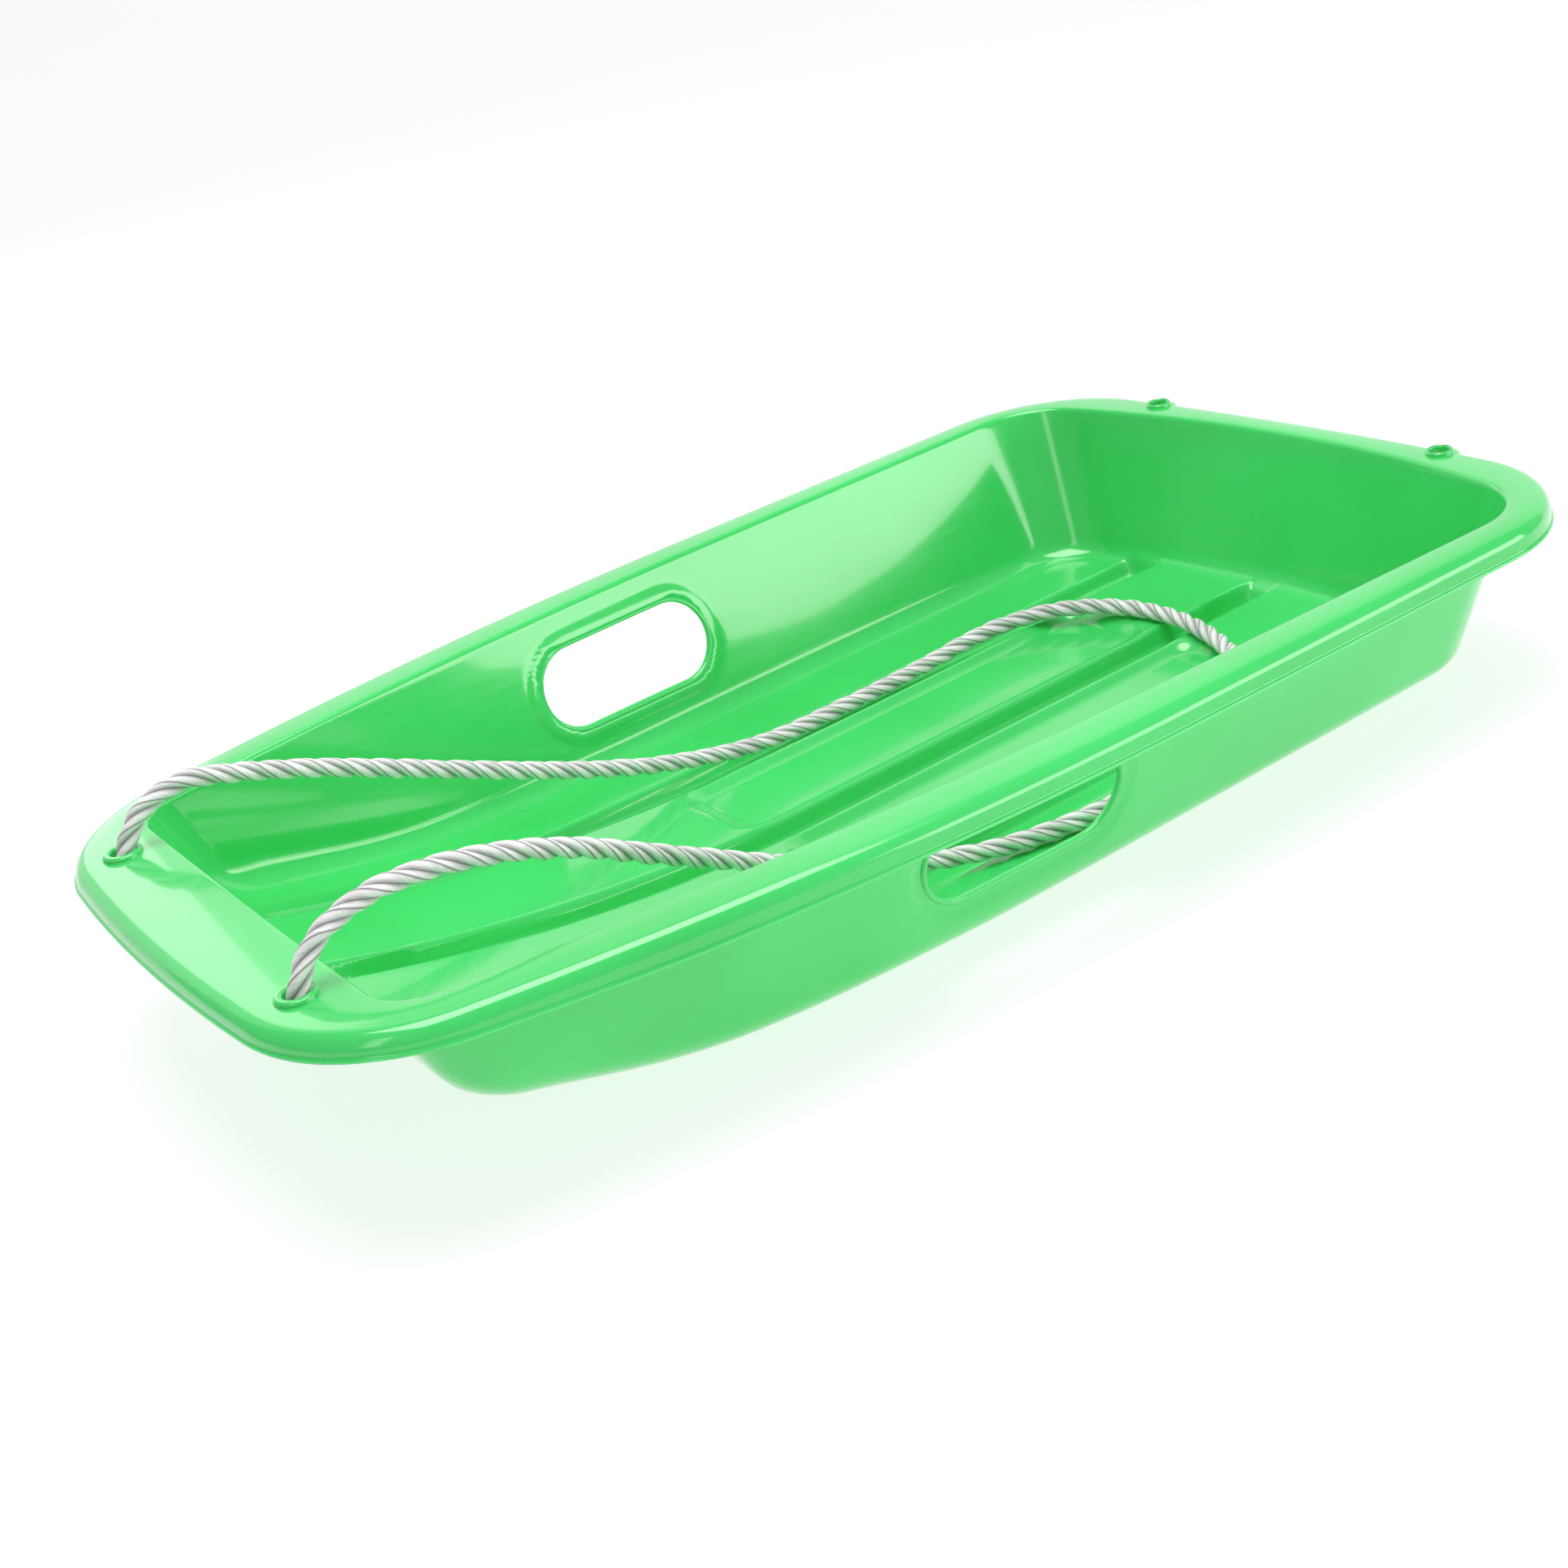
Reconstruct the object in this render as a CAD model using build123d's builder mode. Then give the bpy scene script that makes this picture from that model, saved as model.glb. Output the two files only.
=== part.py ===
"""A one-piece moulded sled with a tow rope.  Millimetres, +X towards the bow, +Z up."""
from build123d import *
import math
import os

os.makedirs("parts", exist_ok=True)

# Rim, seen from above.  Distances along the sled run from the middle of its rear edge.
length = 774.0
width = 457.0
straight_end = 330.0      # the sides are straight up to here, then curve inwards
side_taper = 3.5          # half width lost over the straight stretch
bow_taper = 60.5          # half width lost where side and front edge would meet
rear_bow = 12.0          # how far the rear edge is curved
front_bow = 12.0
rear_corner = 85.0
front_corner = 75.0

# Rim, seen from the side: a flat top that rolls over into a skirt.
rim_height = 106.0        # top of the rim above the ground, at the rear
rim_slope = 0.5           # degrees, rising to the bow
skin = 3.0
skirt_drop = 14.0
roll_radius = 9.0
bow_lip_length = 174.0    # over this stretch at the bow the skirt gets lower
bow_lip_drop = 9.0

# Mouth of the tub.
side_flange = 26.5
rear_flange = 23.0
deck_depth = 52.0
mouth_rear_bow = 28.5
mouth_front_bow = 1.0
mouth_bow_widening = 9.0  # how much less the mouth narrows than the rim does
mouth_rear_corner = 46.0
mouth_front_corner = 52.0

# Foot of the tub, at ground level: how far each wall leans in, and the foot's own outline.
side_lean = 36.0
rear_lean = 27.0
front_lean = 46.0
foot_taper = 7.0
foot_bow = 14.0
foot_rear_corner = 36.0
foot_front_corner = 30.0

# Floor: flat, then rising to the bow, with runner grooves, two raised panels and their seats.
flat_end = 404.0
rocker_radius = 986.0
bilge_radius = 15.0
ledge_level = 12.0
panel_level = 16.0
seat_level = 11.0
groove_width = 28.0
outer_groove_y = 102.0
centre_groove_width = 19.0
groove_setback = 6.0      # from the foot's rear edge to the grooves
groove_reach = 12.0       # from the foot's front edge on to the grooves' front ends
groove_corner = 6.0
seat_rear = 136.0
seat_front = 440.0
seat_margin = 7.0

# Handholes through the side walls.
handhole_length = 120.0
handhole_height = 48.5
handhole_x = 405.0
handhole_z = 63.0

# Rope holes with raised collars.
rope_hole = 13.5
collar_width = 23.0
collar_height = 3.5
front_hole_inset = 31.0
front_hole_y = 107.5
rear_hole_inset = 14.0
rear_hole_y = 114.0
rear_hole = 12.0
rear_collar_width = 19.0

# Tow rope.
rope_size = 10.0
knot_width = 24.0
knot_length = 18.0
knot_round = 6.0
knot_tail = 3.0

half_width = width / 2
bow_half_width = half_width - bow_taper
bow_lip_start = length - bow_lip_length
foot_half_width = half_width - side_flange - side_lean
foot_rear = rear_flange + rear_lean
foot_front = length - deck_depth - front_lean
groove_rear = foot_rear + groove_setback
groove_front = foot_front + groove_reach
slope = math.radians(rim_slope)


def along(x):
    """The frame's x of a distance from the rear edge."""
    return x - length / 2


def rim_z(x):
    """Height of the rim's top at a distance from the rear edge."""
    return rim_height + x * math.tan(slope)


def rise(x):
    """How far the floor has risen at a distance from the rear edge."""
    run = max(0.0, x - flat_end)
    return rocker_radius - math.sqrt(rocker_radius**2 - run**2)


def rim_plane(drop=0.0):
    """The plane of the rim's top, or one parallel to it that far below."""
    return Plane(
        origin=(along(0) + drop * math.sin(slope), 0, rim_height - drop * math.cos(slope)),
        x_dir=(math.cos(slope), 0, math.sin(slope)),
        z_dir=(-math.sin(slope), 0, math.cos(slope)),
    )


def ground_plane():
    return Plane(origin=(along(0), 0, 0))


def round_at(sketch, x, radius):
    """Round the pair of corners of a plan outline at that x."""
    fillet(sketch.vertices().filter_by(lambda v: abs(v.X - x) < 0.01 and abs(v.Y) > 1), radius)


def plan(plane, rear, bow, rear_y, knee_y, front, front_sag, front_y, rear_round, front_round):
    """A plan outline: curved rear edge, straight then curving sides, nearly straight front."""
    with BuildSketch(plane) as sketch:
        with BuildLine():
            ThreePointArc((rear + bow, -rear_y), (rear, 0), (rear + bow, rear_y))
            side = Line((rear + bow, rear_y), (straight_end, knee_y))
            TangentArc(side @ 1, (front - front_sag, front_y), tangent=side % 1)
            ThreePointArc((front - front_sag, front_y), (front, 0), (front - front_sag, -front_y))
            other = Line((rear + bow, -rear_y), (straight_end, -knee_y))
            TangentArc(other @ 1, (front - front_sag, -front_y), tangent=other % 1)
        make_face()
        round_at(sketch, rear + bow, rear_round)
        round_at(sketch, front - front_sag, front_round)
    return sketch.sketch


def rim_plan(plane, inset):
    return plan(
        plane, inset, rear_bow, half_width - inset, half_width - side_taper - inset,
        length - inset, front_bow, bow_half_width - inset,
        rear_corner - inset, front_corner - inset,
    )


def mouth_plan(grow):
    flange = side_flange - grow
    return plan(
        rim_plane(), rear_flange - grow, mouth_rear_bow, half_width - flange,
        half_width - side_taper - flange, length - deck_depth + grow,
        mouth_front_bow, bow_half_width + mouth_bow_widening - flange, mouth_rear_corner + grow, mouth_front_corner + grow,
    )


def foot_plan(grow):
    return plan(
        ground_plane(), foot_rear - grow, foot_bow, foot_half_width + grow,
        foot_half_width + grow, foot_front + grow, mouth_front_bow,
        foot_half_width - foot_taper + grow, foot_rear_corner + grow, foot_front_corner + grow,
    )


def rim_block(inset, drop):
    """A solid of the rim's outline with its top edge rolled, that far below the rim's top."""
    with BuildPart() as block:
        add(rim_plan(rim_plane(skirt_drop), inset))
        extrude(amount=skirt_drop - drop)
        top = block.faces().sort_by(Axis.Z)[-1]
        fillet(top.edges(), roll_radius - drop)
        with BuildSketch(Plane.XZ):
            with BuildLine():
                Polyline(
                    (along(bow_lip_start), rim_z(bow_lip_start) - skirt_drop),
                    (along(length) + skirt_drop, rim_z(length) - bow_lip_drop),
                    (along(length) + skirt_drop, rim_z(0) - 2 * skirt_drop),
                    (along(bow_lip_start), rim_z(0) - 2 * skirt_drop),
                    close=True,
                )
            make_face()
        extrude(amount=half_width, both=True, mode=Mode.SUBTRACT)
    return block.part


def floor_edge(edge, level):
    """Whether an edge lies where the floor meets the walls."""
    spot = edge @ 0.5
    on_floor = abs(spot.Z - level - rise(spot.X - along(0))) < 0.5
    across = abs((edge % 0.5).Y) > 0.99 and abs(spot.Y) < 1
    joint = across and abs(spot.X - along(flat_end)) < 1
    return on_floor and not joint


def tub_block(grow):
    """The tub as a solid, either its outside (grown by the skin) or its hollow."""
    level = ledge_level - grow
    with BuildPart() as block:
        add(foot_plan(grow))
        add(mouth_plan(grow))
        loft(ruled=True)
        with BuildSketch(Plane.XZ):
            with BuildLine():
                flat = Line((along(0), level), (along(flat_end), level))
                bend = TangentArc(flat @ 1, (along(length), level + rise(length)), tangent=flat % 1)
                Polyline(bend @ 1, (along(length), -width), (along(0), -width), flat @ 0)
            make_face()
        extrude(amount=width, both=True, mode=Mode.SUBTRACT)
        foot = block.edges().filter_by(lambda e: floor_edge(e, level))
        fillet(foot, bilge_radius + grow)
    return block.part


def floor_strip(y, wide, bottom, top, rear, front, corner):
    """A strip that follows the floor, between two levels and two distances from the rear."""
    with BuildPart() as strip:
        with BuildSketch(Plane.XZ.offset(-y)):
            with BuildLine():
                low = Line((along(0), bottom), (along(flat_end), bottom))
                low_bend = TangentArc(low @ 1, (along(length), bottom + rise(length)), tangent=low % 1)
                high = Line((along(0), top), (along(flat_end), top))
                high_bend = TangentArc(high @ 1, (along(length), top + rise(length)), tangent=high % 1)
                Line(low @ 0, high @ 0)
                Line(low_bend @ 1, high_bend @ 1)
            make_face()
            with Locations((along((rear + front) / 2), 0)):
                Rectangle(front - rear, 2 * width, mode=Mode.INTERSECT)
        extrude(amount=wide / 2, both=True)
        fillet(strip.edges().filter_by(Axis.Z), corner)
    return strip.part


grooves = [
    (-outer_groove_y, groove_width),
    (0.0, centre_groove_width),
    (outer_groove_y, groove_width),
]
panel_inner = centre_groove_width / 2
panel_outer = outer_groove_y - groove_width / 2
panel_y = (panel_inner + panel_outer) / 2
panel_width = panel_outer - panel_inner


def groove_strips(grow, top):
    """The three grooves as solids, or, grown by the skin, the runners around them."""
    return [
        floor_strip(
            y, wide + 2 * grow, skin - grow, top,
            groove_rear - grow, groove_front + grow, groove_corner + grow,
        )
        for y, wide in grooves
    ]


def raised_panel(side):
    """One raised floor panel with its shallow seat."""
    pad = floor_strip(
        side * panel_y, panel_width, 0, panel_level, foot_rear - bilge_radius,
        length - deck_depth, skin,
    )
    seat = floor_strip(
        side * panel_y, panel_width - 2 * seat_margin, seat_level, panel_level + skin,
        seat_rear, seat_front, groove_corner + seat_margin,
    )
    with BuildPart() as panel:
        add(pad)
        add(seat, mode=Mode.SUBTRACT)
    return panel.part


def under_panel(side, rear, front):
    """The hollow that a raised panel leaves in the underside."""
    return floor_strip(
        side * panel_y, panel_width - 2 * skin, -skin, panel_level - skin, rear, front, groove_corner
    )


rope_holes = [
    (length - front_hole_inset, front_hole_y, rope_hole, collar_width),
    (rear_hole_inset, rear_hole_y, rear_hole, rear_collar_width),
]

# The hollow of the tub, with its grooves and without its raised panels.
with BuildPart() as hollow:
    add(tub_block(0))
    for strip in groove_strips(0, ledge_level + skin):
        add(strip)
    for side in (-1, 1):
        add(raised_panel(side), mode=Mode.SUBTRACT)

# The moulding itself.
with BuildPart() as sled:
    add(rim_block(0, 0))
    add(rim_block(skin, skin), mode=Mode.SUBTRACT)
    add(tub_block(skin))
    for strip in groove_strips(skin, ledge_level):
        add(strip)
    for side in (-1, 1):
        add(under_panel(side, groove_rear + bilge_radius, seat_rear - skin), mode=Mode.SUBTRACT)
        add(under_panel(side, seat_front + skin, groove_front - bilge_radius), mode=Mode.SUBTRACT)
    add(hollow.part, mode=Mode.SUBTRACT)
    with BuildSketch(Plane.XZ):
        with Locations((along(handhole_x), handhole_z)):
            SlotOverall(handhole_length, handhole_height, rotation=rim_slope)
    extrude(amount=width, both=True, mode=Mode.SUBTRACT)
    for x, y, hole, collar in rope_holes:
        with BuildSketch(rim_plane(skin)):
            with Locations((x, -y), (x, y)):
                Circle(collar / 2)
        extrude(amount=skin + collar_height)
        with BuildSketch(rim_plane(2 * skin)):
            with Locations((x, -y), (x, y)):
                Circle(hole / 2)
        extrude(amount=collar_height + 3 * skin, mode=Mode.SUBTRACT)

sled.part.label = "sled_shell"
export_step(sled.part, "parts/sled_shell.step")

# The rope's route from one stop knot to the other: over the bow, into the tub, round its rear
# end and back.  Distances from the rear edge, then y and z.
route = [
    (745.7, 107.5, 104),
    (737.4, 107.5, 130),
    (709, 109, 148),
    (676, 111.5, 150),
    (637, 111, 140),
    (598, 104, 122),
    (556, 99, 95),
    (508, 98, 64),
    (460, 103, 38),
    (414, 109, 22.5),
    (372, 126, 18),
    (318, 138, 17.6),
    (262, 137, 17.6),
    (206, 121, 18),
    (160, 88, 22.5),
    (136, 46, 22),
    (124, 0, 22),
    (127, -42, 22),
    (152, -80, 22.5),
    (192, -101, 19),
    (244, -106.5, 12),
    (306, -107, 11),
    (362, -106, 12),
    (414, -103, 23),
    (468, -98, 42),
    (526, -97, 67),
    (584, -97, 94),
    (634, -98, 117),
    (677, -99, 133),
    (709, -102, 142),
    (737.8, -107.2, 127),
    (746.4, -107.8, 101.5),
]
tube_share = 0.45         # share of the shorter run that each bend takes up


def bend_radii(points):
    """For each corner of a route, the radius of the largest arc that its runs allow."""
    radii = []
    for before, corner, after in zip(points, points[1:], points[2:]):
        turn = math.radians((corner - before).get_angle(after - corner))
        shorter = min((corner - before).length, (after - corner).length)
        radii.append(tube_share * shorter / math.tan(turn / 2))
    return radii


points = [Vector(along(x), y, z) for x, y, z in route]
radii = bend_radii(points)

with BuildPart() as tow_rope:
    with BuildLine() as rope_line:
        FilletPolyline(*points, radius=radii)
    with BuildSketch(Plane(origin=points[0], z_dir=points[1] - points[0])):
        Circle(rope_size / 2)
    sweep(path=rope_line.wires()[0])

tow_rope.part.label = "tow_rope"
export_step(tow_rope.part, "parts/tow_rope.step")

rope_length = rope_line.wires()[0].length
rope_volume = math.pi * (rope_size / 2) ** 2 * rope_length
runs = [(b - a).length for a, b in zip(points, points[1:])]
print("rope length", round(rope_length, 1), "volume share", round(tow_rope.part.volume / rope_volume, 4))
print("rope runs", [round(run) for run in runs])
print("rope radii", [round(radius) for radius in radii])


for name, end, before in [
    ("knot_left", points[0], points[1]),
    ("knot_right", points[-1], points[-2]),
]:
    top = Plane(origin=end, z_dir=before - end)
    with BuildPart() as knot:
        with BuildSketch(top):
            Circle(knot_width / 2)
        extrude(amount=-knot_length)
        fillet(knot.edges(), knot_round)
        with BuildSketch(top.offset(-knot_length)):
            Circle(rope_size / 2)
        extrude(amount=-knot_tail)
    knot.part.label = name
    export_step(knot.part, f"parts/{name}.step")
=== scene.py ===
"""A moulded green sled with a white tow rope.  Metres, in the CAD frame, except where a
name or comment says millimetres: shapes are worked out in millimetres from the rear edge."""

import math

import bmesh
import bpy
import numpy as np
from mathutils import Matrix, Vector


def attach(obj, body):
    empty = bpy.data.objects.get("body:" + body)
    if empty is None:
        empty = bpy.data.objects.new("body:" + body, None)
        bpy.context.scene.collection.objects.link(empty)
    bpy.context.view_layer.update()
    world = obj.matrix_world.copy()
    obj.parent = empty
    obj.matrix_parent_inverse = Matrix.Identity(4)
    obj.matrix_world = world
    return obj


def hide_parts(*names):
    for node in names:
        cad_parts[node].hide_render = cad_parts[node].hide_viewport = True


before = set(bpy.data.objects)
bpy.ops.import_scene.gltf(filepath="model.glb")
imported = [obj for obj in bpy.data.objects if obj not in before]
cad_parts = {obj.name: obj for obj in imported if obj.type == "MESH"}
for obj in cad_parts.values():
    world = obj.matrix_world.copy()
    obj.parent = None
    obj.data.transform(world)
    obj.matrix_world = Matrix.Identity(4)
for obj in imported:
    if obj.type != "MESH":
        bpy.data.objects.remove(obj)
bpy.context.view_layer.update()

LENGTH = 774.0
MID = LENGTH / 2


def row(x, y, z):
    """A point in millimetres from the rear edge, as metres in the row frame."""
    return Vector(((x - MID) / 1000, y / 1000, z / 1000))


# ---------------------------------------------------------------- camera
FORWARD = Vector((-0.461, -0.776, -0.430)).normalized()
ROLL = math.radians(12.14)
LENS = 50.26
CAMERA_AT = Vector((0.58424, 0.92379, 0.55225))

level_right = FORWARD.cross(Vector((0, 0, 1))).normalized()
level_down = FORWARD.cross(level_right)
right = math.cos(ROLL) * level_right + math.sin(ROLL) * level_down
down = math.cos(ROLL) * level_down - math.sin(ROLL) * level_right
camera_data = bpy.data.cameras.new("camera")
camera_data.lens = LENS
camera_data.sensor_width = 36
camera_data.clip_end = 50
camera = bpy.data.objects.new("camera", camera_data)
place = Matrix((right, -down, -FORWARD)).transposed().to_4x4()
place.translation = CAMERA_AT
camera.matrix_world = place
bpy.context.scene.collection.objects.link(camera)
bpy.context.scene.camera = camera


# ---------------------------------------------------------------- shared helpers
def link(name, data):
    obj = bpy.data.objects.new(name, data)
    bpy.context.scene.collection.objects.link(obj)
    return obj


def mesh_object(name, points, faces, material, uvs=None):
    """A smooth-shaded mesh object from points in metres."""
    mesh = bpy.data.meshes.new(name)
    mesh.from_pydata([tuple(p) for p in points], [], [tuple(f) for f in faces])
    mesh.validate()
    if uvs is not None:
        layer = mesh.uv_layers.new(name="along")
        index = np.zeros(len(mesh.loops), np.int32)
        mesh.loops.foreach_get("vertex_index", index)
        layer.data.foreach_set("uv", np.asarray(uvs, float)[index].ravel())
    mesh.polygons.foreach_set("use_smooth", [True] * len(mesh.polygons))
    mesh.materials.append(material)
    mesh.update()
    return link(name, mesh)


def new_material(name):
    """A new material, its node tree and its shader."""
    material = bpy.data.materials.new(name)
    material.use_nodes = True
    tree = material.node_tree
    return material, tree, tree.nodes["Principled BSDF"]


def node(tree, kind, inputs=None, **settings):
    """A new node. Each input is a value, or the socket that feeds it."""
    made = tree.nodes.new(kind)
    for key, value in settings.items():
        setattr(made, key, value)
    for key, value in (inputs or {}).items():
        if isinstance(value, bpy.types.NodeSocket):
            tree.links.new(value, made.inputs[key])
        else:
            made.inputs[key].default_value = value
    return made


# ---------------------------------------------------------------- materials
def shell_material():
    """Glossy moulded plastic: slight clouding, flow waves, fine scuffs and a painted highlight on
    convex edges.
    """
    material, tree, shader = new_material("shell_plastic")
    spot = node(tree, "ShaderNodeTexCoord").outputs["Object"]
    clouds = node(tree, "ShaderNodeTexNoise", {"Vector": spot, "Scale": 7.0, "Detail": 3.0})
    tint = node(tree, "ShaderNodeValToRGB", {"Fac": clouds.outputs["Fac"]})
    tint.color_ramp.elements[0].position = 0.3
    tint.color_ramp.elements[0].color = (0.048, 0.60, 0.122, 1)
    tint.color_ramp.elements[1].position = 0.7
    tint.color_ramp.elements[1].color = (0.062, 0.68, 0.158, 1)
    # Painted highlight: convex edges are painted a paler green, in place of the light they catch.
    edges = node(tree, "ShaderNodeNewGeometry").outputs["Pointiness"]
    edge = node(tree, "ShaderNodeMapRange", {"Value": edges, "From Min": 0.52, "From Max": 0.62})
    painted_edge_highlight = node(tree, "ShaderNodeMixRGB", {
        "Fac": edge.outputs["Result"], "Color1": tint.outputs["Color"],
        "Color2": (0.085, 0.75, 0.21, 1)})
    tree.links.new(painted_edge_highlight.outputs["Color"], shader.inputs["Base Color"])
    # Scuffs: long thin streaks along the sled that dull the gloss a little.
    stretched = node(tree, "ShaderNodeMapping", {"Vector": spot, "Scale": (4.0, 70.0, 70.0)})
    scuffs = node(tree, "ShaderNodeTexNoise", {
        "Vector": stretched.outputs["Vector"], "Scale": 5.0, "Detail": 6.0})
    rough = node(tree, "ShaderNodeMapRange", {
        "Value": scuffs.outputs["Fac"], "From Min": 0.35, "From Max": 0.75,
        "To Min": 0.13, "To Max": 0.22})
    tree.links.new(rough.outputs["Result"], shader.inputs["Roughness"])
    # Flow waves of the moulding, then its very fine surface grain.
    waves = node(tree, "ShaderNodeTexNoise", {"Vector": spot, "Scale": 11.0, "Detail": 1.0})
    soft = node(tree, "ShaderNodeBump", {
        "Height": waves.outputs["Fac"], "Strength": 0.35, "Distance": 0.002})
    grain = node(tree, "ShaderNodeTexNoise", {"Vector": spot, "Scale": 420.0, "Detail": 2.0})
    fine = node(tree, "ShaderNodeBump", {
        "Height": grain.outputs["Fac"], "Strength": 0.05, "Distance": 0.0003,
        "Normal": soft.outputs["Normal"]})
    tree.links.new(fine.outputs["Normal"], shader.inputs["Normal"])
    shader.inputs["IOR"].default_value = 1.5
    shader.inputs["Subsurface Weight"].default_value = 0.12
    shader.inputs["Subsurface Radius"].default_value = (0.002, 0.010, 0.003)
    shader.inputs["Subsurface Scale"].default_value = 1.0
    shader.inputs["Coat Weight"].default_value = 0.6
    shader.inputs["Coat Roughness"].default_value = 0.05
    return material


def rope_material():
    """White polypropylene strands: fine yarns along each strand, a soft sheen and grey dust."""
    material, tree, shader = new_material("rope_fibre")
    place = node(tree, "ShaderNodeSeparateXYZ", {
        "Vector": node(tree, "ShaderNodeUVMap", uv_map="along").outputs["UV"]})
    spot = node(tree, "ShaderNodeTexCoord").outputs["Object"]
    # The yarns wind round each strand.
    wound = node(tree, "ShaderNodeMath", {0: place.outputs["Y"], 1: -38.0, 2: place.outputs["X"]},
                 operation="MULTIPLY_ADD")
    yarn = node(tree, "ShaderNodeCombineXYZ", {"X": wound.outputs["Value"], "Y": place.outputs["Y"]})
    spread = node(tree, "ShaderNodeMapping", {"Vector": yarn.outputs["Vector"],
                                              "Scale": (17.0, 90.0, 1.0)})
    threads = node(tree, "ShaderNodeTexNoise", {
        "Vector": spread.outputs["Vector"], "Scale": 1.0, "Detail": 3.0, "Roughness": 0.6})
    dust = node(tree, "ShaderNodeTexNoise", {"Vector": spot, "Scale": 55.0, "Detail": 4.0})
    mix = node(tree, "ShaderNodeMath", {0: threads.outputs["Fac"], 1: dust.outputs["Fac"]},
               operation="MULTIPLY")
    tint = node(tree, "ShaderNodeValToRGB", {"Fac": mix.outputs["Value"]})
    tint.color_ramp.elements[0].position = 0.10
    tint.color_ramp.elements[0].color = (0.68, 0.66, 0.67, 1)
    tint.color_ramp.elements[1].position = 0.34
    tint.color_ramp.elements[1].color = (0.96, 0.94, 0.95, 1)
    # Less light reaches the side of a strand that faces its neighbours.
    turned = node(tree, "ShaderNodeMath", {0: place.outputs["X"], 1: 2 * math.pi},
                  operation="MULTIPLY")
    facing = node(tree, "ShaderNodeMath", {0: turned.outputs["Value"]}, operation="COSINE")
    shade = node(tree, "ShaderNodeMapRange", {
        "Value": facing.outputs["Value"], "From Min": -0.1, "From Max": 0.65,
        "To Min": 0.48, "To Max": 1.0})
    shaded = node(tree, "ShaderNodeVectorMath", {
        0: tint.outputs["Color"], 1: shade.outputs["Result"]}, operation="MULTIPLY")
    tree.links.new(shaded.outputs["Vector"], shader.inputs["Base Color"])
    bump = node(tree, "ShaderNodeBump", {
        "Height": threads.outputs["Fac"], "Strength": 0.8, "Distance": 0.0006})
    tree.links.new(bump.outputs["Normal"], shader.inputs["Normal"])
    rough = node(tree, "ShaderNodeMapRange", {
        "Value": dust.outputs["Fac"], "To Min": 0.42, "To Max": 0.62})
    tree.links.new(rough.outputs["Result"], shader.inputs["Roughness"])
    shader.inputs["Sheen Weight"].default_value = 0.25
    shader.inputs["Subsurface Weight"].default_value = 0.1
    shader.inputs["Subsurface Radius"].default_value = (0.002, 0.002, 0.002)
    shader.inputs["Subsurface Scale"].default_value = 1.0
    return material


SHELL = shell_material()
ROPE = rope_material()

# ---------------------------------------------------------------- tow rope
ROPE_D = 0.010
LAY = 0.045                # length of one full turn of a strand
STRANDS = 3
STRAND_RADIUS = 0.255      # of the rope's diameter
STRAND_OFFSET = 0.262      # from the rope's middle to a strand's, of the rope's diameter
FLATTEN = 0.13             # how much a strand swells where it meets its neighbours
RING_STEP = 0.0013         # from one ring of a strand's points to the next
# The rope's route, in millimetres from the rear edge: its curve's control points.
route = [
    (745.7, 107.5, 104), (737.4, 107.5, 130), (709, 109, 144), (676, 111.5, 145),
    (637, 111, 135), (598, 104, 117), (556, 99, 91), (508, 98, 64), (460, 103, 38),
    (414, 109, 22.5), (372, 126, 18), (318, 138, 17.6), (262, 137, 17.6), (206, 121, 18),
    (160, 88, 22.5), (136, 46, 22), (124, 0, 22), (127, -42, 22), (152, -80, 22.5),
    (192, -101, 19), (244, -106.5, 12), (306, -107, 11), (362, -106, 12), (414, -103, 23),
    (468, -98, 42), (526, -97, 67), (584, -97, 94), (634, -98, 117), (677, -99, 133),
    (709, -102, 142), (737.8, -107.2, 127), (746.4, -107.8, 101.5),
]


def smooth_line(points, name):
    """Points of a NURBS spline that has these control points, in the row frame."""
    data = bpy.data.curves.new(name, "CURVE")
    data.dimensions = "3D"
    data.resolution_u = 24
    spline = data.splines.new("NURBS")
    spline.points.add(len(points) - 1)
    for control, p in zip(spline.points, points):
        control.co = (*p, 1)
    spline.order_u = 3
    spline.use_endpoint_u = True
    curve = link(name, data)
    bpy.context.view_layer.update()
    depsgraph = bpy.context.evaluated_depsgraph_get()
    mesh = bpy.data.meshes.new_from_object(curve.evaluated_get(depsgraph))
    line = np.array([v.co for v in mesh.vertices])
    bpy.data.objects.remove(curve)
    bpy.data.meshes.remove(mesh)
    return line


def resample(line, step):
    """Evenly spaced points of a line, and how far along it each one is."""
    gaps = np.linalg.norm(np.diff(line, axis=0), axis=1)
    line = line[np.r_[True, gaps > 1e-9]]
    run = np.r_[0, np.cumsum(np.linalg.norm(np.diff(line, axis=0), axis=1))]
    at = np.linspace(0, run[-1], int(round(run[-1] / step)) + 1)
    return np.stack([np.interp(at, run, line[:, k]) for k in range(3)], axis=1), at


def frames_along(line):
    """Directions along a line, and two more square to them that don't twist about it."""
    along = np.gradient(line, axis=0)
    along /= np.linalg.norm(along, axis=1)[:, None]
    side = np.cross(along[0], (0.0, 0.3, 1.0))
    side /= np.linalg.norm(side)
    sides = [side]
    for direction in along[1:]:
        side = side - direction * side.dot(direction)
        side = side / np.linalg.norm(side)
        sides.append(side)
    sides = np.array(sides)
    return along, sides, np.cross(along, sides)


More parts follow.
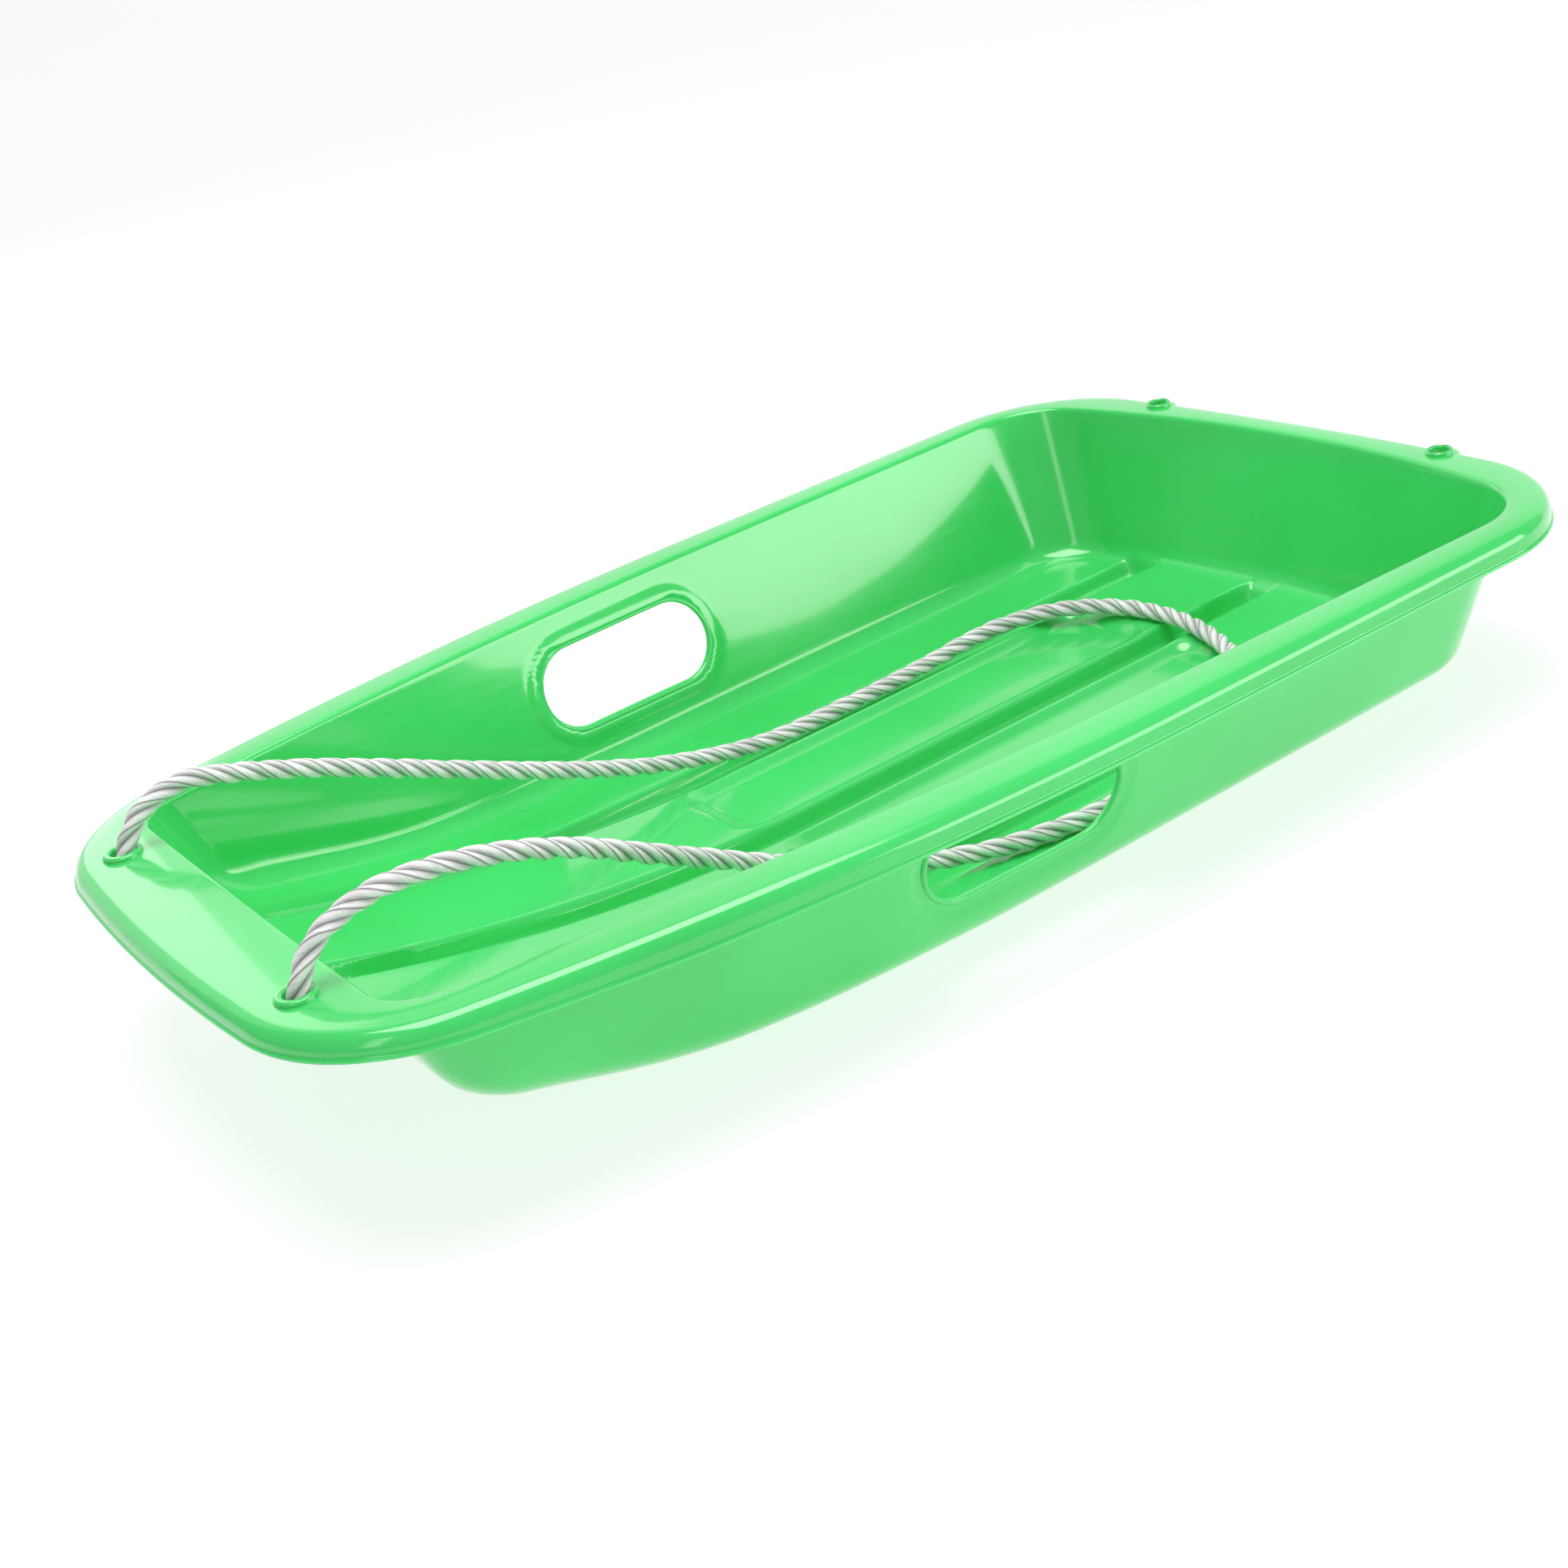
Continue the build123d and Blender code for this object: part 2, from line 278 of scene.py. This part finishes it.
def laid_rope(line, diameter, seed, points_round=12):
    """The strands of a laid rope about a line: points, faces and UVs (round, along)."""
    line, at = resample(line, RING_STEP)
    along, side, other = frames_along(line)
    rng = np.random.default_rng(seed)
    slow = np.interp(at, np.linspace(0, at[-1], 40), rng.normal(0, 0.10, 40))
    strand_r = diameter * STRAND_RADIUS
    centre_r = diameter * STRAND_OFFSET
    points, faces, uvs = [], [], []
    for strand in range(STRANDS):
        turn = 2 * math.pi * (at / LAY + strand / STRANDS) + slow
        wobble = 1 + np.interp(at, np.linspace(0, at[-1], 160), rng.normal(0, 0.025, 160))
        out = np.cos(turn)[:, None] * side + np.sin(turn)[:, None] * other
        path = line + out * centre_r * wobble[:, None]
        way = np.gradient(path, axis=0)
        way /= np.linalg.norm(way, axis=1)[:, None]
        a = out - way * np.sum(out * way, axis=1)[:, None]
        a /= np.linalg.norm(a, axis=1)[:, None]
        b = np.cross(way, a)
        first = len(points)
        for i in range(len(path)):
            for k in range(points_round):
                angle = 2 * math.pi * k / points_round
                # Strands spread where they press on each other and stay round outside.
                r = strand_r * (1.0 + FLATTEN * abs(math.sin(angle))) * wobble[i]
                points.append(path[i] + r * (math.cos(angle) * a[i] + math.sin(angle) * b[i]))
                uvs.append((k / points_round, at[i]))
        for i in range(len(path) - 1):
            for k in range(points_round):
                p = first + i * points_round + k
                q = first + i * points_round + (k + 1) % points_round
                faces.append((p, q, q + points_round, p + points_round))
        faces.append(tuple(first + k for k in reversed(range(points_round))))
        last = first + (len(path) - 1) * points_round
        faces.append(tuple(last + k for k in range(points_round)))
    return points, faces, uvs


route_points = [row(*p) for p in route]
rope_line = smooth_line(route_points, "rope_route")
points, faces, uvs = laid_rope(rope_line, ROPE_D, 3)
rope = mesh_object("laid_tow_rope", points, faces, ROPE, uvs=uvs)
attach(rope, "root")
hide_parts("tow_rope")

KNOT_ROPE_D = 0.0085       # the rope is squeezed thinner in a knot
KNOT_SPREAD = 0.0034


def stop_knot(name, top, toward, seed):
    """An overhand knot pulled tight below a rope hole, with its short tail to one side."""
    down_way = (top - toward).normalized()
    side = down_way.cross(Vector((1, 0.2, 0))).normalized()
    other = down_way.cross(side)
    path = []
    turns = 48
    for i in range(turns + 1):
        t = -0.35 + (2 * math.pi * 0.86) * i / turns
        u = math.sin(t) + 1.15 * math.sin(2 * t)
        v = math.cos(t) - 1.15 * math.cos(2 * t)
        depth = 0.0088 - 0.0038 * math.sin(3 * t) + 0.002 * (i / turns - 0.5)
        path.append(top + down_way * depth + side * u * KNOT_SPREAD + other * v * KNOT_SPREAD)
    entry = [top + down_way * 0.0003, top + down_way * 0.0025]
    tail = [top + down_way * 0.0125 + side * 0.006, top + down_way * 0.0135 + side * 0.0145]
    line = smooth_line(entry + path + tail, name + "_route")
    points, faces, uvs = laid_rope(line, KNOT_ROPE_D, seed, 10)
    knot = mesh_object(name, points, faces, ROPE, uvs=uvs)
    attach(knot, "root")
    return knot


left = stop_knot("stop_knot_left", route_points[0], route_points[1], 11)
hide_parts("knot_left")
right_knot = stop_knot("stop_knot_right", route_points[-1], route_points[-2], 12)
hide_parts("knot_right")

# ---------------------------------------------------------------- the moulding, in millimetres
RIM_Z = 106.0
SLOPE = math.tan(math.radians(0.5))
SKIN = 2.9
ROLL_RADIUS = 9.0
FLAT_END, ROCKER = 404.0, 986.0      # where the bottom begins to rise, and its radius
LEDGE, PANEL, SEAT, GROOVE = 12.0, 16.0, 11.0, 3.0    # heights above the ground
LEDGE_DIP = 7.0                      # how much lower the ledge is near the bow
WALL_LEAN = 36 / 106                 # sideways for each millimetre up
SPINE_FROM, SPINE_TO = 96, 642       # the floor's rings close in on this stretch of the middle
SEGMENTS = (96, 60, 250, 60, 96)     # points on: rear edge, corner, side, corner, front edge


def rim_z(x):
    """Height of the rim's top."""
    return RIM_Z + x * SLOPE


def rise(x):
    """How far the bottom has risen towards the bow."""
    run = np.clip(np.asarray(x, float) - FLAT_END, 0, 600)
    return ROCKER - np.sqrt(ROCKER ** 2 - run ** 2)


def ledge(x):
    """Height of the ledge beside the panels, which dips near the bow."""
    return LEDGE + rise(x) - LEDGE_DIP * ease((np.asarray(x, float) - 440) / 180)


def half_outline(rear, rear_bow, rear_y, knee_x, knee_y, front, front_bow, front_y,
                 rear_round, front_round):
    """One half of a plan outline, from the middle of the rear to the middle of the front."""
    n = 400
    v = np.linspace(0, 1, n)
    rear_edge = np.stack([rear + rear_bow * v ** 2, rear_y * v], 1)
    straight = np.stack([
        (rear + rear_bow) + (knee_x - rear - rear_bow) * v, rear_y + (knee_y - rear_y) * v], 1)
    front_x = front - front_bow
    drift = (knee_y - rear_y) / (knee_x - rear - rear_bow)
    span = front_x - knee_x
    bend = (front_y - knee_y - drift * span) / span ** 2
    xs = knee_x + span * v
    curved = np.stack([xs, knee_y + drift * (xs - knee_x) + bend * (xs - knee_x) ** 2], 1)
    side = np.concatenate([straight, curved[1:]])
    w = v[::-1]
    front_edge = np.stack([front - front_bow * w ** 2, front_y * w], 1)

    def corner(before, after, radius):
        """Cut both lines back by the radius and join them with a smooth arc."""
        def trim(line, keep_start):
            run = np.r_[0, np.cumsum(np.linalg.norm(np.diff(line, axis=0), axis=1))]
            cut = run[-1] - radius if keep_start else radius
            at = np.array([np.interp(cut, run, line[:, k]) for k in (0, 1)])
            if keep_start:
                return np.vstack([line[run < cut], at]), at
            return np.vstack([at, line[run > cut]]), at
        first, a = trim(before, True)
        second, c = trim(after, False)
        da = first[-1] - first[-2]
        dc = second[1] - second[0]
        da, dc = da / np.linalg.norm(da), dc / np.linalg.norm(dc)
        m = np.linalg.solve(np.stack([da, -dc], 1), c - a)
        b = a + da * m[0]
        half = math.acos(np.clip(da.dot(dc), -1, 1)) / 2
        weight = math.cos(half)
        s = np.linspace(0, 1, 200)[:, None]
        arc = ((1 - s) ** 2 * a + 2 * s * (1 - s) * weight * b + s ** 2 * c) / (
            (1 - s) ** 2 + 2 * s * (1 - s) * weight + s ** 2)
        return first, arc, second

    rear_edge, rear_arc, side = corner(rear_edge, side, rear_round)
    side, front_arc, front_edge = corner(side, front_edge, front_round)
    line = []
    for piece, count in zip((rear_edge, rear_arc, side, front_arc, front_edge), SEGMENTS):
        run = np.r_[0, np.cumsum(np.linalg.norm(np.diff(piece, axis=0), axis=1))]
        at = np.linspace(0, run[-1], count + 1)[:-1]
        line.append(np.stack([np.interp(at, run, piece[:, k]) for k in (0, 1)], 1))
    line.append(front_edge[-1:])
    return np.concatenate(line)


def full_outline(*sizes):
    """A closed plan outline, mirrored about the middle line."""
    half = half_outline(*sizes)
    other = half[-2:0:-1] * (1, -1)
    return np.concatenate([half, other])


# Outlines of the rim, of the tub's mouth, and of the tub's foot at ground level.
RIM = full_outline(0, 12, 228.5, 330, 225, 774, 12, 168, 85, 64)
MOUTH = full_outline(22, 28.5, 207, 330, 198.5, 722, 1, 150.5, 42, 22)
FOOT = full_outline(50, 14, 166, 330, 166, 676, 1, 159, 36, 20)
COUNT = len(RIM)


def outward(line):
    """Directions square to a closed outline, pointing away from its inside."""
    way = np.roll(line, -1, 0) - np.roll(line, 1, 0)
    way /= np.linalg.norm(way, axis=1)[:, None]
    return np.stack([-way[:, 1], way[:, 0]], 1)


RIM_OUT = outward(RIM)


def ease(value):
    """A smooth step from 0 to 1."""
    value = np.clip(value, 0, 1)
    return value * value * (3 - 2 * value)


def slab(x, y, x0, x1, y0, y1, corner, soft):
    """1 inside a rounded rectangle and 0 outside, with an edge that is soft millimetres wide."""
    cx, cy, hx, hy = (x0 + x1) / 2, (y0 + y1) / 2, (x1 - x0) / 2, (y1 - y0) / 2
    dx = np.abs(x - cx) - hx + corner
    dy = np.abs(y - cy) - hy + corner
    far = np.hypot(np.maximum(dx, 0), np.maximum(dy, 0)) + np.minimum(np.maximum(dx, dy), 0)
    return ease(0.5 - (far - corner) / soft)


PANEL_X, PANEL_Y = (30, 712), (9.5, 88.0)
SEAT_X, SEAT_Y = (136, 440), (16.0, 82.0)
GROOVE_X = (56, 685)
GROOVES = ((-102.0, 28.0), (0.0, 19.0), (102.0, 28.0))     # middle and width of each


def floor_features(x, y, z):
    """Height of the floor and lower walls, with the raised panels, seats and grooves."""
    up = rise(x)
    for side in (-1, 1):
        panel = slab(x, y, *PANEL_X, *sorted(side * edge for edge in PANEL_Y), 3, 5.0)
        z = z + panel * np.maximum(PANEL + up - z, 0)
        seat = slab(x, y, *SEAT_X, *sorted(side * edge for edge in SEAT_Y), 15, 13.0)
        z = z - seat * np.maximum(z - (SEAT + up), 0)
    for middle, wide in GROOVES:
        groove = slab(x, y, *GROOVE_X, middle - wide / 2, middle + wide / 2, 6, 5.0)
        z = z - groove * np.maximum(z - (GROOVE + up), 0)
    return z


HAND_X, HAND_Z, HAND_LONG, HAND_HIGH = 405.0, 63.0, 120.0, 48.5
BAND_WIDTH, BAND_FADE, BAND_RISE = 10.5, 4.0, 1.3      # the raised band round a handhole


def from_handhole(x, z):
    """Distance outside the outline of the handhole, negative inside it."""
    straight = (HAND_LONG - HAND_HIGH) / 2
    along = np.maximum(np.abs(x - HAND_X) - straight, 0)
    return np.hypot(along, z - HAND_Z - (x - HAND_X) * SLOPE) - HAND_HIGH / 2


# (name, x, y, hole radius, radius at its foot, radius at its top, height, set above the rim)
COLLARS = [
    ("bow", 743.0, 107.5, 6.0, 12.6, 9.8, 2.8, 0.3),
    ("rear", 14.0, 114.0, 5.6, 11.0, 7.8, 3.0, -0.2),
]


def deck_crown(x, share):
    """The deck is slightly domed across, a little more at the bow."""
    dome = 0.35 + 0.25 * ease((x - 560) / 160)
    return dome * (1 - (2 * share - 1) ** 2)


def hull():
    """The whole moulding as one sheet, from the skirt's edge over the rim to the floor."""
    rings = []
    rx, ry = RIM[:, 0], RIM[:, 1]
    top = rim_z(rx)
    drop = np.where(rx > 600, 14 - 4.5 * np.clip((rx - 600) / 174, 0, 1), 14.0)
    roll = ROLL_RADIUS

    def ring(x, y, z):
        rings.append(np.stack([np.broadcast_to(x, COUNT), np.broadcast_to(y, COUNT),
                               np.broadcast_to(z, COUNT)], 1).astype(float))

    # The trimmed edge of the skirt stands out a little, then the skirt rises to the roll.
    squeeze = np.minimum(1, (drop + 0.6 - roll) / 2.9)
    for up_by, flare in ((0.0, 1.3), (0.9, 1.35), (1.5, 1.0), (1.9, 0.35), (2.6, 0.15)):
        ring(rx + RIM_OUT[:, 0] * flare, ry + RIM_OUT[:, 1] * flare,
             top - drop - 0.6 + up_by * squeeze)
    for i in range(0, 9):
        angle = math.pi / 2 * i / 9
        pull = roll * (1 - math.cos(angle))
        ring(rx - RIM_OUT[:, 0] * pull, ry - RIM_OUT[:, 1] * pull,
             top - roll * (1 - math.sin(angle)))
    inner = RIM - RIM_OUT * roll
    # Deck, from the roll to just before the mouth's edge.
    lip = 2.8
    gap = MOUTH - inner
    reach = np.linalg.norm(gap, axis=1)
    stop = 1 - np.minimum(lip / np.maximum(reach, 1e-6), 0.45)
    deck_rings = 22
    for i in range(deck_rings + 1):
        share = i / deck_rings
        at = inner + gap * (stop * share)[:, None]
        ring(at[:, 0], at[:, 1], rim_z(at[:, 0]) + deck_crown(at[:, 0], share))
    deck_end = rings[-1].copy()
    # Wall line, from the mouth down to the ledge at its foot.
    mouth = np.column_stack([MOUTH, rim_z(MOUTH[:, 0])])
    foot = np.column_stack([FOOT, np.zeros(COUNT)])
    share = np.full(COUNT, 0.1)
    for _ in range(6):
        x_at = foot[:, 0] + (mouth[:, 0] - foot[:, 0]) * share
        share = ledge(x_at) / mouth[:, 2]
    crease = foot + (mouth - foot) * share[:, None]
    wall = mouth - crease
    wall_run = np.linalg.norm(wall, axis=1)[:, None]
    up_wall = wall / wall_run
    spine_x = np.clip(FOOT[:, 0], SPINE_FROM, SPINE_TO)
    spine = np.column_stack([spine_x, np.zeros(COUNT), ledge(spine_x)])
    inward = spine[:, :2] - crease[:, :2]
    inward /= np.linalg.norm(inward, axis=1)[:, None]
    tilt = ledge(crease[:, 0] + inward[:, 0]) - ledge(crease[:, 0])
    inward = np.column_stack([inward, tilt])
    inward /= np.linalg.norm(inward, axis=1)[:, None]

    def arc(a, b, c, count):
        """Rings along a rounded corner from a, which has its ring already, to c."""
        ab = (b - a) / np.linalg.norm(b - a, axis=1)[:, None]
        bc = (c - b) / np.linalg.norm(c - b, axis=1)[:, None]
        turn = np.arccos(np.clip(np.sum(ab * bc, 1), -1, 1))
        weight = np.cos(turn / 2)[:, None]
        for i in range(1, count + 1):
            s = i / count
            at = ((1 - s) ** 2 * a + 2 * s * (1 - s) * weight * b + s ** 2 * c) / (
                (1 - s) ** 2 + 2 * s * (1 - s) * weight + s ** 2)
            ring(at[:, 0], at[:, 1], at[:, 2])

    below = mouth - up_wall * lip
    arc(deck_end, mouth, below, 6)
    # The bilge, where the wall turns into the floor, is rounder towards the bow.
    radius = 16.0 + 8.0 * ease((crease[:, 0] - 560) / 110)
    angle = np.arccos(np.clip(np.sum(up_wall * inward, 1), -1, 1))
    tangent = (radius / np.tan(angle / 2))[:, None]
    low = crease + up_wall * tangent
    wall_steps = 30
    for i in range(1, wall_steps + 1):
        at = below + (low - below) * (i / wall_steps)
        ring(at[:, 0], at[:, 1], at[:, 2])
    wall_rings = (len(rings) - wall_steps, len(rings))
    floor_from = crease + inward * tangent
    arc(low, crease, floor_from, 10)
    floor_rings = 104
    for i in range(1, floor_rings):
        s = i / floor_rings
        at = floor_from[:, :2] + (spine[:, :2] - floor_from[:, :2]) * s
        ring(at[:, 0], at[:, 1], ledge(at[:, 0]))
    points = np.concatenate(rings)
    first_floor = wall_rings[0] * COUNT
    low_part = points[first_floor:]
    low_part[:, 2] = floor_features(low_part[:, 0], low_part[:, 1], low_part[:, 2])
    return points, len(rings), spine, wall_rings


def shell_mesh():
    """The moulding's points and faces, with its handholes and rope holes cut out."""
    points, ring_count, spine, wall_rings = hull()
    # A band round each handhole stands into the tub and fades out over a few millimetres.
    start, stop = wall_rings[0] * COUNT, wall_rings[1] * COUNT
    part = points[start - 3 * COUNT:stop + 8 * COUNT]
    off = from_handhole(part[:, 0], part[:, 2])
    on_side = np.abs(part[:, 1]) > 140
    band = ease((BAND_WIDTH - off) / BAND_FADE) * on_side
    part[:, 1] -= np.sign(part[:, 1]) * BAND_RISE * band
    grid = np.arange(len(points)).reshape(ring_count, COUNT)
    faces = []
    keep_x, keep_y, keep_z = points[:, 0], points[:, 1], points[:, 2]
    inside_hand = (from_handhole(keep_x, keep_z) < 0.0) & (np.abs(keep_y) > 140) & (
        np.arange(len(points)) >= start - 2 * COUNT)
    inside_hole = np.zeros(len(points), bool)
    for _, x, y, hole, *_ in COLLARS:
        for sign in (-1, 1):
            near = np.hypot(keep_x - x, keep_y - sign * y) < hole + 1.2
            inside_hole |= near & (np.arange(len(points)) < start)
    gone = inside_hand | inside_hole
    nxt = np.roll(grid, -1, axis=1)
    quads = np.stack([grid[:-1], nxt[:-1], nxt[1:], grid[1:]], axis=-1).reshape(-1, 4)
    quads = quads[~gone[quads].any(axis=1)]
    # Move the stepped edge of each handhole onto its true outline.
    used = np.zeros(len(points), int)
    np.add.at(used, quads.ravel(), 1)
    edge = (used > 0) & (used < 4) & (np.abs(keep_y) > 140) & (
        np.arange(len(points)) >= start - 2 * COUNT) & (from_handhole(keep_x, keep_z) < 6)
    for i in np.nonzero(edge)[0]:
        x, z = keep_x[i], keep_z[i]
        straight = (HAND_LONG - HAND_HIGH) / 2
        cx = HAND_X + np.clip(x - HAND_X, -straight, straight)
        cz = HAND_Z + (x - HAND_X) * SLOPE
        d = math.hypot(x - cx, z - cz)
        nx = cx + (x - cx) / d * HAND_HIGH / 2
        nz = cz + (z - cz) / d * HAND_HIGH / 2
        points[i, 1] += math.copysign((nz - z) * WALL_LEAN, points[i, 1])
        points[i, 0], points[i, 2] = nx, nz
    verts = [tuple(p) for p in points]
    faces = [tuple(q) for q in quads]
    # Close the floor along its spine.
    last = grid[-1]
    spots = {}
    spine_ids = []
    for k in range(COUNT):
        key = round(float(spine[k, 0]), 3)
        if key not in spots:
            z = float(floor_features(np.array([key]), np.array([0.0]),
                                     np.array([float(ledge(key))]))[0])
            spots[key] = len(verts)
            verts.append((key, 0.0, z))
        spine_ids.append(spots[key])
    for k in range(COUNT):
        j = (k + 1) % COUNT
        face = [int(last[k]), int(last[j]), spine_ids[j], spine_ids[k]]
        clean = []
        for v in face:
            if v not in clean:
                clean.append(v)
        if len(clean) > 2:
            faces.append(tuple(clean))
    return verts, faces


def lathe(x, y, base_z, profile, count=56):
    """A closed ring turned about a vertical axis: profile is (radius, height) pairs."""
    verts, faces = [], []
    for r, h in profile:
        for k in range(count):
            a = 2 * math.pi * k / count
            px, py = x + r * math.cos(a), y + r * math.sin(a)
            verts.append((px, py, base_z + h + (px - x) * SLOPE))
    for i in range(len(profile)):
        after = (i + 1) % len(profile)
        for k in range(count):
            j = (k + 1) % count
            faces.append((i * count + k, i * count + j, after * count + j, after * count + k))
    return verts, faces


def collar_profile(hole, foot, top, high):
    """Closed section of a rope hole's collar: flared foot, rounded top, straight bore."""
    steps = []
    low = high - 2.2
    for i in range(7):
        a = math.pi / 2 * i / 6
        steps.append((foot - (foot - top - 0.3) * math.sin(a),
                      -0.4 + (low + 0.4) * (1 - math.cos(a))))
    for i in range(7):
        a = math.pi / 2 * i / 6
        steps.append((top + 0.3 - 1.7 * (1 - math.cos(a)), high - 1.7 + 1.7 * math.sin(a)))
    for i in range(7):
        a = math.pi / 2 * i / 6
        steps.append((hole + 1.4 - 1.4 * math.sin(a), high - 1.4 * (1 - math.cos(a))))
    steps += [(hole, high - 3.0), (hole, -2.2), (hole + 0.6, -3.0), (hole + 2.5, -3.2)]
    return steps


def hand_lip(side):
    """The rounded lip round a handhole."""
    verts, faces = [], []
    straight = (HAND_LONG - HAND_HIGH) / 2
    radius = HAND_HIGH / 2
    line = []
    for k in range(40):
        line.append((HAND_X - straight + 2 * straight * k / 40, HAND_Z + radius, 0.0, 1.0))
    for k in range(48):
        a = math.pi / 2 - math.pi * k / 48
        line.append((HAND_X + straight + radius * math.cos(a), HAND_Z + radius * math.sin(a),
                     math.cos(a), math.sin(a)))
    for k in range(40):
        line.append((HAND_X + straight - 2 * straight * k / 40, HAND_Z - radius, 0.0, -1.0))
    for k in range(48):
        a = -math.pi / 2 - math.pi * k / 48
        line.append((HAND_X - straight + radius * math.cos(a), HAND_Z + radius * math.sin(a),
                     math.cos(a), math.sin(a)))
    n = 14
    r_in, r_thick = 1.6, 2.2
    one_side = slice(60, COUNT // 2)
    for x, z, out_x, out_z in line:
        z += (x - HAND_X) * SLOPE
        mouth_y = np.interp(x, MOUTH[one_side, 0], MOUTH[one_side, 1])
        foot_y = np.interp(x, FOOT[one_side, 0], FOOT[one_side, 1])
        y = foot_y + (mouth_y - foot_y) * z / rim_z(x) + 0.35
        for k in range(n):
            a = 2 * math.pi * k / n
            shift = 1.1 + r_in * math.cos(a)
            verts.append((x + out_x * shift, side * (y + out_z * shift * 0.34
                                                     + r_thick * math.sin(a)),
                          z + out_z * shift))
    total = len(line)
    for i in range(total):
        for k in range(n):
            j, m = (i + 1) % total, (k + 1) % n
            faces.append((i * n + k, i * n + m, j * n + m, j * n + k))
    return verts, faces


def metres(verts):
    """Millimetres from the rear edge, as metres in the row frame."""
    return [((x - MID) / 1000, y / 1000, z / 1000) for x, y, z in verts]


verts, faces = shell_mesh()
shell = mesh_object("sled_moulding", metres(verts), faces, SHELL)
bm = bmesh.new()
bm.from_mesh(shell.data)
loose = [v for v in bm.verts if not v.link_faces]
bmesh.ops.delete(bm, geom=loose, context="VERTS")
bmesh.ops.recalc_face_normals(bm, faces=bm.faces)
bm.faces.ensure_lookup_table()
deck_face = max(bm.faces, key=lambda f: f.calc_center_median().z)
if deck_face.normal.z < 0:
    bmesh.ops.reverse_faces(bm, faces=bm.faces)
bm.to_mesh(shell.data)
bm.free()
thick = shell.modifiers.new("thickness", "SOLIDIFY")
thick.thickness = SKIN / 1000
thick.offset = -1
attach(shell, "root")
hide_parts("sled_shell")

for end, x, y, hole, foot, top, high, above in COLLARS:
    for sign in (-1, 1):
        profile = collar_profile(hole, foot, top, high)
        if end == "rear":
            # The rear collars reach over the rim's roll, so their outside goes further down.
            profile = [(foot + 0.5, -3.6)] + profile
        v, f = lathe(x, sign * y, rim_z(x) + above, profile)
        side_name = "left" if sign > 0 else "right"
        collar = mesh_object(f"{end}_collar_{side_name}", metres(v), f, SHELL)
        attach(collar, "root")
for sign in (-1, 1):
    v, f = hand_lip(sign)
    lip = mesh_object(f"handhole_lip_{'left' if sign > 0 else 'right'}", metres(v), f, SHELL)
    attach(lip, "root")

# ---------------------------------------------------------------- floor and light
floor_material, tree, shader = new_material("floor_paint")
shader.inputs["Base Color"].default_value = (0.35, 0.35, 0.35, 1)
shader.inputs["Roughness"].default_value = 1.0
shader.inputs["Specular IOR Level"].default_value = 0.0
shader.inputs["Emission Color"].default_value = (1, 1, 1, 1)
shader.inputs["Emission Strength"].default_value = 0.75
# A flat floor that curves up far behind the sled.
back = Vector((FORWARD.x, FORWARD.y, 0)).normalized()
across = Vector((-back.y, back.x, 0))
section = [(-6.0, 0.0), (3.0, 0.0)]
section += [(3.0 + 2.0 * math.sin(a), 2.0 - 2.0 * math.cos(a))
            for a in [math.pi / 2 * k / 16 for k in range(1, 17)]]
section += [(5.0, 9.0)]
points = [back * run + across * wide + Vector((0, 0, up))
          for run, up in section for wide in (-9, 9)]
faces = [(2 * k, 2 * k + 1, 2 * k + 3, 2 * k + 2) for k in range(len(section) - 1)]
floor = mesh_object("studio_floor", points, faces, floor_material)

world = bpy.data.worlds.new("studio")
world.use_nodes = True
world.node_tree.nodes["Background"].inputs["Color"].default_value = (1, 1, 1, 1)
world.node_tree.nodes["Background"].inputs["Strength"].default_value = 0.33
bpy.context.scene.world = world
bpy.context.scene.view_settings.view_transform = "Standard"


def softbox(name, spot, aim, width, height, watts):
    """A rectangular area light at a spot, turned to its aim."""
    data = bpy.data.lights.new(name, "AREA")
    data.shape = "RECTANGLE"
    data.size, data.size_y, data.energy = width, height, watts
    lamp = link(name, data)
    way = (Vector(aim) - Vector(spot)).normalized()
    turned = way.to_track_quat("-Z", "Y").to_matrix().to_4x4()
    lamp.matrix_world = Matrix.Translation(spot) @ turned


softbox("overhead", (0.0, 0.1, 2.2), (0, 0, 0), 1.6, 1.3, 38)
softbox("back_panel", (-0.02, -2.5, 1.29), (0.35, 0, 0.11), 0.62, 1.7, 4.2)
softbox("front_fill", (-1.7, 2.2, 0.62), (0.0, -0.2, 0.06), 2.2, 0.9, 28)
softbox("corner_strip", (1.6, 0.9, 1.2), (-0.3, -0.1, 0.05), 0.3, 1.2, 2.5)
